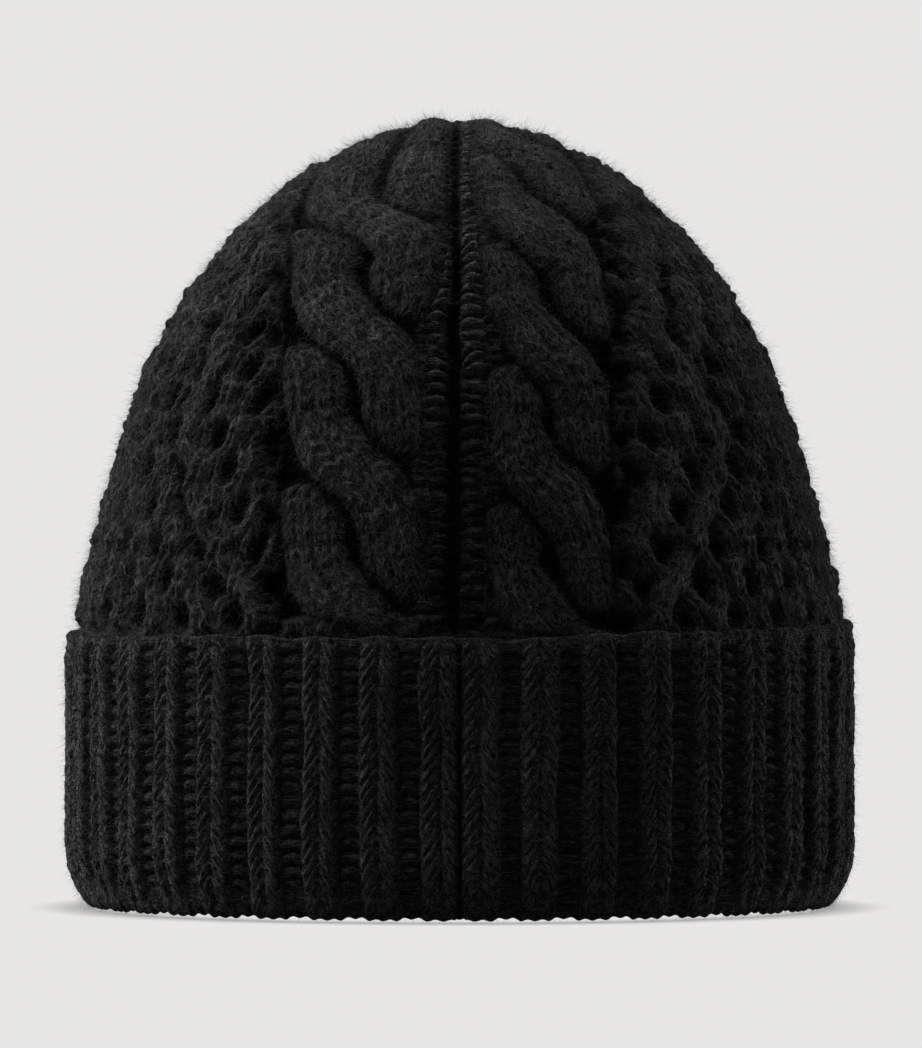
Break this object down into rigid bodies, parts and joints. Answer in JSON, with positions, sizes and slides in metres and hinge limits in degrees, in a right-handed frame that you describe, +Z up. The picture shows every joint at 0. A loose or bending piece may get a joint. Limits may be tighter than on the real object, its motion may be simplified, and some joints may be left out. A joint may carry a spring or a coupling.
{
  "type": "knit beanie",
  "caption": "Close-fitting knitted winter hat with rope-cable and honeycomb panels, a back seam, a gathered top and a ribbed cuff that turns up or down.",
  "frame": {"origin": "centre of the head opening, on the plane of the turn edge that the hat rests on", "axes": "+Z up through the crown; -Y towards the back seam; +X to the right of a person looking at the back seam"},
  "size_m": [0.19, 0.19, 0.1889],
  "materials": {
    "rib_knit": "fuzzy wool rib knit",
    "cable_knit": "fuzzy wool cable knit",
    "honeycomb_knit": "fuzzy wool honeycomb knit",
    "seam_yarn": "wool seaming yarn"
  },
  "bodies": {
    "hat_body": {"inner_rib_band": "rib_knit", "back_cable_panel_left": "cable_knit", "back_cable_panel_right": "cable_knit", "honeycomb_panel_left": "honeycomb_knit", "honeycomb_panel_right": "honeycomb_knit", "front_cable_panel_left": "cable_knit", "front_cable_panel_right": "cable_knit", "back_seam": "seam_yarn", "crown_gather": "seam_yarn"},
    "cuff_strip_01": {"cuff_rib_01": "rib_knit"},
    "cuff_strip_02": {"cuff_rib_02": "rib_knit"},
    "cuff_strip_03": {"cuff_rib_03": "rib_knit"},
    "cuff_strip_04": {"cuff_rib_04": "rib_knit"},
    "cuff_strip_05": {"cuff_rib_05": "rib_knit"},
    "cuff_strip_06": {"cuff_rib_06": "rib_knit"},
    "cuff_strip_07": {"cuff_rib_07": "rib_knit"},
    "cuff_strip_08": {"cuff_rib_08": "rib_knit"},
    "cuff_strip_09": {"cuff_rib_09": "rib_knit"},
    "cuff_strip_10": {"cuff_rib_10": "rib_knit"},
    "cuff_strip_11": {"cuff_rib_11": "rib_knit"},
    "cuff_strip_12": {"cuff_rib_12": "rib_knit"},
    "cuff_strip_13": {"cuff_rib_13": "rib_knit"},
    "cuff_strip_14": {"cuff_rib_14": "rib_knit"},
    "cuff_strip_15": {"cuff_rib_15": "rib_knit"},
    "cuff_strip_16": {"cuff_rib_16": "rib_knit"},
    "cuff_strip_17": {"cuff_rib_17": "rib_knit"},
    "cuff_strip_18": {"cuff_rib_18": "rib_knit"},
    "cuff_strip_19": {"cuff_rib_19": "rib_knit"},
    "cuff_strip_20": {"cuff_rib_20": "rib_knit"},
    "cuff_strip_21": {"cuff_rib_21": "rib_knit"},
    "cuff_strip_22": {"cuff_rib_22": "rib_knit"},
    "cuff_strip_23": {"cuff_rib_23": "rib_knit"},
    "cuff_strip_24": {"cuff_rib_24": "rib_knit"},
    "cuff_strip_25": {"cuff_rib_25": "rib_knit"},
    "cuff_strip_26": {"cuff_rib_26": "rib_knit"},
    "cuff_strip_27": {"cuff_rib_27": "rib_knit"},
    "cuff_strip_28": {"cuff_rib_28": "rib_knit"},
    "cuff_strip_29": {"cuff_rib_29": "rib_knit"},
    "cuff_strip_30": {"cuff_rib_30": "rib_knit"},
    "cuff_strip_31": {"cuff_rib_31": "rib_knit"},
    "cuff_strip_32": {"cuff_rib_32": "rib_knit"},
    "cuff_strip_33": {"cuff_rib_33": "rib_knit"},
    "cuff_strip_34": {"cuff_rib_34": "rib_knit"},
    "cuff_strip_35": {"cuff_rib_35": "rib_knit"},
    "cuff_strip_36": {"cuff_rib_36": "rib_knit"},
    "cuff_strip_37": {"cuff_rib_37": "rib_knit"},
    "cuff_strip_38": {"cuff_rib_38": "rib_knit"},
    "cuff_strip_39": {"cuff_rib_39": "rib_knit"},
    "cuff_strip_40": {"cuff_rib_40": "rib_knit"}
  },
  "joints": [
    {"name": "cuff_turn_01", "type": "hinge", "parent": "hat_body", "child": "cuff_strip_01", "pos_m": [0.0071, -0.09027, 0], "axis": [0.9969, 0.0785, 0], "range_deg": [0, 179]},
    {"name": "cuff_turn_02", "type": "hinge", "parent": "hat_body", "child": "cuff_strip_02", "pos_m": [0.02114, -0.08805, 0], "axis": [0.9724, 0.2334, 0], "range_deg": [0, 179]},
    {"name": "cuff_turn_03", "type": "hinge", "parent": "hat_body", "child": "cuff_strip_03", "pos_m": [0.03465, -0.08366, 0], "axis": [0.9239, 0.3827, 0], "range_deg": [0, 179]},
    {"name": "cuff_turn_04", "type": "hinge", "parent": "hat_body", "child": "cuff_strip_04", "pos_m": [0.04731, -0.07721, 0], "axis": [0.8526, 0.5225, 0], "range_deg": [0, 179]},
    {"name": "cuff_turn_05", "type": "hinge", "parent": "hat_body", "child": "cuff_strip_05", "pos_m": [0.05881, -0.06885, 0], "axis": [0.7604, 0.6494, 0], "range_deg": [0, 179]},
    {"name": "cuff_turn_06", "type": "hinge", "parent": "hat_body", "child": "cuff_strip_06", "pos_m": [0.06885, -0.05881, 0], "axis": [0.6494, 0.7604, 0], "range_deg": [0, 179]},
    {"name": "cuff_turn_07", "type": "hinge", "parent": "hat_body", "child": "cuff_strip_07", "pos_m": [0.07721, -0.04731, 0], "axis": [0.5225, 0.8526, 0], "range_deg": [0, 179]},
    {"name": "cuff_turn_08", "type": "hinge", "parent": "hat_body", "child": "cuff_strip_08", "pos_m": [0.08366, -0.03465, 0], "axis": [0.3827, 0.9239, 0], "range_deg": [0, 179]},
    {"name": "cuff_turn_09", "type": "hinge", "parent": "hat_body", "child": "cuff_strip_09", "pos_m": [0.08805, -0.02114, 0], "axis": [0.2334, 0.9724, 0], "range_deg": [0, 179]},
    {"name": "cuff_turn_10", "type": "hinge", "parent": "hat_body", "child": "cuff_strip_10", "pos_m": [0.09027, -0.0071, 0], "axis": [0.0785, 0.9969, 0], "range_deg": [0, 179]},
    {"name": "cuff_turn_11", "type": "hinge", "parent": "hat_body", "child": "cuff_strip_11", "pos_m": [0.09027, 0.0071, 0], "axis": [-0.0785, 0.9969, 0], "range_deg": [0, 179]},
    {"name": "cuff_turn_12", "type": "hinge", "parent": "hat_body", "child": "cuff_strip_12", "pos_m": [0.08805, 0.02114, 0], "axis": [-0.2334, 0.9724, 0], "range_deg": [0, 179]},
    {"name": "cuff_turn_13", "type": "hinge", "parent": "hat_body", "child": "cuff_strip_13", "pos_m": [0.08366, 0.03465, 0], "axis": [-0.3827, 0.9239, 0], "range_deg": [0, 179]},
    {"name": "cuff_turn_14", "type": "hinge", "parent": "hat_body", "child": "cuff_strip_14", "pos_m": [0.07721, 0.04731, 0], "axis": [-0.5225, 0.8526, 0], "range_deg": [0, 179]},
    {"name": "cuff_turn_15", "type": "hinge", "parent": "hat_body", "child": "cuff_strip_15", "pos_m": [0.06885, 0.05881, 0], "axis": [-0.6494, 0.7604, 0], "range_deg": [0, 179]},
    {"name": "cuff_turn_16", "type": "hinge", "parent": "hat_body", "child": "cuff_strip_16", "pos_m": [0.05881, 0.06885, 0], "axis": [-0.7604, 0.6494, 0], "range_deg": [0, 179]},
    {"name": "cuff_turn_17", "type": "hinge", "parent": "hat_body", "child": "cuff_strip_17", "pos_m": [0.04731, 0.07721, 0], "axis": [-0.8526, 0.5225, 0], "range_deg": [0, 179]},
    {"name": "cuff_turn_18", "type": "hinge", "parent": "hat_body", "child": "cuff_strip_18", "pos_m": [0.03465, 0.08366, 0], "axis": [-0.9239, 0.3827, 0], "range_deg": [0, 179]},
    {"name": "cuff_turn_19", "type": "hinge", "parent": "hat_body", "child": "cuff_strip_19", "pos_m": [0.02114, 0.08805, 0], "axis": [-0.9724, 0.2334, 0], "range_deg": [0, 179]},
    {"name": "cuff_turn_20", "type": "hinge", "parent": "hat_body", "child": "cuff_strip_20", "pos_m": [0.0071, 0.09027, 0], "axis": [-0.9969, 0.0785, 0], "range_deg": [0, 179]},
    {"name": "cuff_turn_21", "type": "hinge", "parent": "hat_body", "child": "cuff_strip_21", "pos_m": [-0.0071, 0.09027, 0], "axis": [-0.9969, -0.0785, 0], "range_deg": [0, 179]},
    {"name": "cuff_turn_22", "type": "hinge", "parent": "hat_body", "child": "cuff_strip_22", "pos_m": [-0.02114, 0.08805, 0], "axis": [-0.9724, -0.2334, 0], "range_deg": [0, 179]},
    {"name": "cuff_turn_23", "type": "hinge", "parent": "hat_body", "child": "cuff_strip_23", "pos_m": [-0.03465, 0.08366, 0], "axis": [-0.9239, -0.3827, 0], "range_deg": [0, 179]},
    {"name": "cuff_turn_24", "type": "hinge", "parent": "hat_body", "child": "cuff_strip_24", "pos_m": [-0.04731, 0.07721, 0], "axis": [-0.8526, -0.5225, 0], "range_deg": [0, 179]},
    {"name": "cuff_turn_25", "type": "hinge", "parent": "hat_body", "child": "cuff_strip_25", "pos_m": [-0.05881, 0.06885, 0], "axis": [-0.7604, -0.6494, 0], "range_deg": [0, 179]},
    {"name": "cuff_turn_26", "type": "hinge", "parent": "hat_body", "child": "cuff_strip_26", "pos_m": [-0.06885, 0.05881, 0], "axis": [-0.6494, -0.7604, 0], "range_deg": [0, 179]},
    {"name": "cuff_turn_27", "type": "hinge", "parent": "hat_body", "child": "cuff_strip_27", "pos_m": [-0.07721, 0.04731, 0], "axis": [-0.5225, -0.8526, 0], "range_deg": [0, 179]},
    {"name": "cuff_turn_28", "type": "hinge", "parent": "hat_body", "child": "cuff_strip_28", "pos_m": [-0.08366, 0.03465, 0], "axis": [-0.3827, -0.9239, 0], "range_deg": [0, 179]},
    {"name": "cuff_turn_29", "type": "hinge", "parent": "hat_body", "child": "cuff_strip_29", "pos_m": [-0.08805, 0.02114, 0], "axis": [-0.2334, -0.9724, 0], "range_deg": [0, 179]},
    {"name": "cuff_turn_30", "type": "hinge", "parent": "hat_body", "child": "cuff_strip_30", "pos_m": [-0.09027, 0.0071, 0], "axis": [-0.0785, -0.9969, 0], "range_deg": [0, 179]},
    {"name": "cuff_turn_31", "type": "hinge", "parent": "hat_body", "child": "cuff_strip_31", "pos_m": [-0.09027, -0.0071, 0], "axis": [0.0785, -0.9969, 0], "range_deg": [0, 179]},
    {"name": "cuff_turn_32", "type": "hinge", "parent": "hat_body", "child": "cuff_strip_32", "pos_m": [-0.08805, -0.02114, 0], "axis": [0.2334, -0.9724, 0], "range_deg": [0, 179]},
    {"name": "cuff_turn_33", "type": "hinge", "parent": "hat_body", "child": "cuff_strip_33", "pos_m": [-0.08366, -0.03465, 0], "axis": [0.3827, -0.9239, 0], "range_deg": [0, 179]},
    {"name": "cuff_turn_34", "type": "hinge", "parent": "hat_body", "child": "cuff_strip_34", "pos_m": [-0.07721, -0.04731, 0], "axis": [0.5225, -0.8526, 0], "range_deg": [0, 179]},
    {"name": "cuff_turn_35", "type": "hinge", "parent": "hat_body", "child": "cuff_strip_35", "pos_m": [-0.06885, -0.05881, 0], "axis": [0.6494, -0.7604, 0], "range_deg": [0, 179]},
    {"name": "cuff_turn_36", "type": "hinge", "parent": "hat_body", "child": "cuff_strip_36", "pos_m": [-0.05881, -0.06885, 0], "axis": [0.7604, -0.6494, 0], "range_deg": [0, 179]},
    {"name": "cuff_turn_37", "type": "hinge", "parent": "hat_body", "child": "cuff_strip_37", "pos_m": [-0.04731, -0.07721, 0], "axis": [0.8526, -0.5225, 0], "range_deg": [0, 179]},
    {"name": "cuff_turn_38", "type": "hinge", "parent": "hat_body", "child": "cuff_strip_38", "pos_m": [-0.03465, -0.08366, 0], "axis": [0.9239, -0.3827, 0], "range_deg": [0, 179]},
    {"name": "cuff_turn_39", "type": "hinge", "parent": "hat_body", "child": "cuff_strip_39", "pos_m": [-0.02114, -0.08805, 0], "axis": [0.9724, -0.2334, 0], "range_deg": [0, 179]},
    {"name": "cuff_turn_40", "type": "hinge", "parent": "hat_body", "child": "cuff_strip_40", "pos_m": [-0.0071, -0.09027, 0], "axis": [0.9969, -0.0785, 0], "range_deg": [0, 179]}
  ],
  "couplings": [
    {"joint": "cuff_turn_02", "follows": "cuff_turn_01", "ratio": 1},
    {"joint": "cuff_turn_03", "follows": "cuff_turn_01", "ratio": 1},
    {"joint": "cuff_turn_04", "follows": "cuff_turn_01", "ratio": 1},
    {"joint": "cuff_turn_05", "follows": "cuff_turn_01", "ratio": 1},
    {"joint": "cuff_turn_06", "follows": "cuff_turn_01", "ratio": 1},
    {"joint": "cuff_turn_07", "follows": "cuff_turn_01", "ratio": 1},
    {"joint": "cuff_turn_08", "follows": "cuff_turn_01", "ratio": 1},
    {"joint": "cuff_turn_09", "follows": "cuff_turn_01", "ratio": 1},
    {"joint": "cuff_turn_10", "follows": "cuff_turn_01", "ratio": 1},
    {"joint": "cuff_turn_11", "follows": "cuff_turn_01", "ratio": 1},
    {"joint": "cuff_turn_12", "follows": "cuff_turn_01", "ratio": 1},
    {"joint": "cuff_turn_13", "follows": "cuff_turn_01", "ratio": 1},
    {"joint": "cuff_turn_14", "follows": "cuff_turn_01", "ratio": 1},
    {"joint": "cuff_turn_15", "follows": "cuff_turn_01", "ratio": 1},
    {"joint": "cuff_turn_16", "follows": "cuff_turn_01", "ratio": 1},
    {"joint": "cuff_turn_17", "follows": "cuff_turn_01", "ratio": 1},
    {"joint": "cuff_turn_18", "follows": "cuff_turn_01", "ratio": 1},
    {"joint": "cuff_turn_19", "follows": "cuff_turn_01", "ratio": 1},
    {"joint": "cuff_turn_20", "follows": "cuff_turn_01", "ratio": 1},
    {"joint": "cuff_turn_21", "follows": "cuff_turn_01", "ratio": 1},
    {"joint": "cuff_turn_22", "follows": "cuff_turn_01", "ratio": 1},
    {"joint": "cuff_turn_23", "follows": "cuff_turn_01", "ratio": 1},
    {"joint": "cuff_turn_24", "follows": "cuff_turn_01", "ratio": 1},
    {"joint": "cuff_turn_25", "follows": "cuff_turn_01", "ratio": 1},
    {"joint": "cuff_turn_26", "follows": "cuff_turn_01", "ratio": 1},
    {"joint": "cuff_turn_27", "follows": "cuff_turn_01", "ratio": 1},
    {"joint": "cuff_turn_28", "follows": "cuff_turn_01", "ratio": 1},
    {"joint": "cuff_turn_29", "follows": "cuff_turn_01", "ratio": 1},
    {"joint": "cuff_turn_30", "follows": "cuff_turn_01", "ratio": 1},
    {"joint": "cuff_turn_31", "follows": "cuff_turn_01", "ratio": 1},
    {"joint": "cuff_turn_32", "follows": "cuff_turn_01", "ratio": 1},
    {"joint": "cuff_turn_33", "follows": "cuff_turn_01", "ratio": 1},
    {"joint": "cuff_turn_34", "follows": "cuff_turn_01", "ratio": 1},
    {"joint": "cuff_turn_35", "follows": "cuff_turn_01", "ratio": 1},
    {"joint": "cuff_turn_36", "follows": "cuff_turn_01", "ratio": 1},
    {"joint": "cuff_turn_37", "follows": "cuff_turn_01", "ratio": 1},
    {"joint": "cuff_turn_38", "follows": "cuff_turn_01", "ratio": 1},
    {"joint": "cuff_turn_39", "follows": "cuff_turn_01", "ratio": 1},
    {"joint": "cuff_turn_40", "follows": "cuff_turn_01", "ratio": 1}
  ]
}
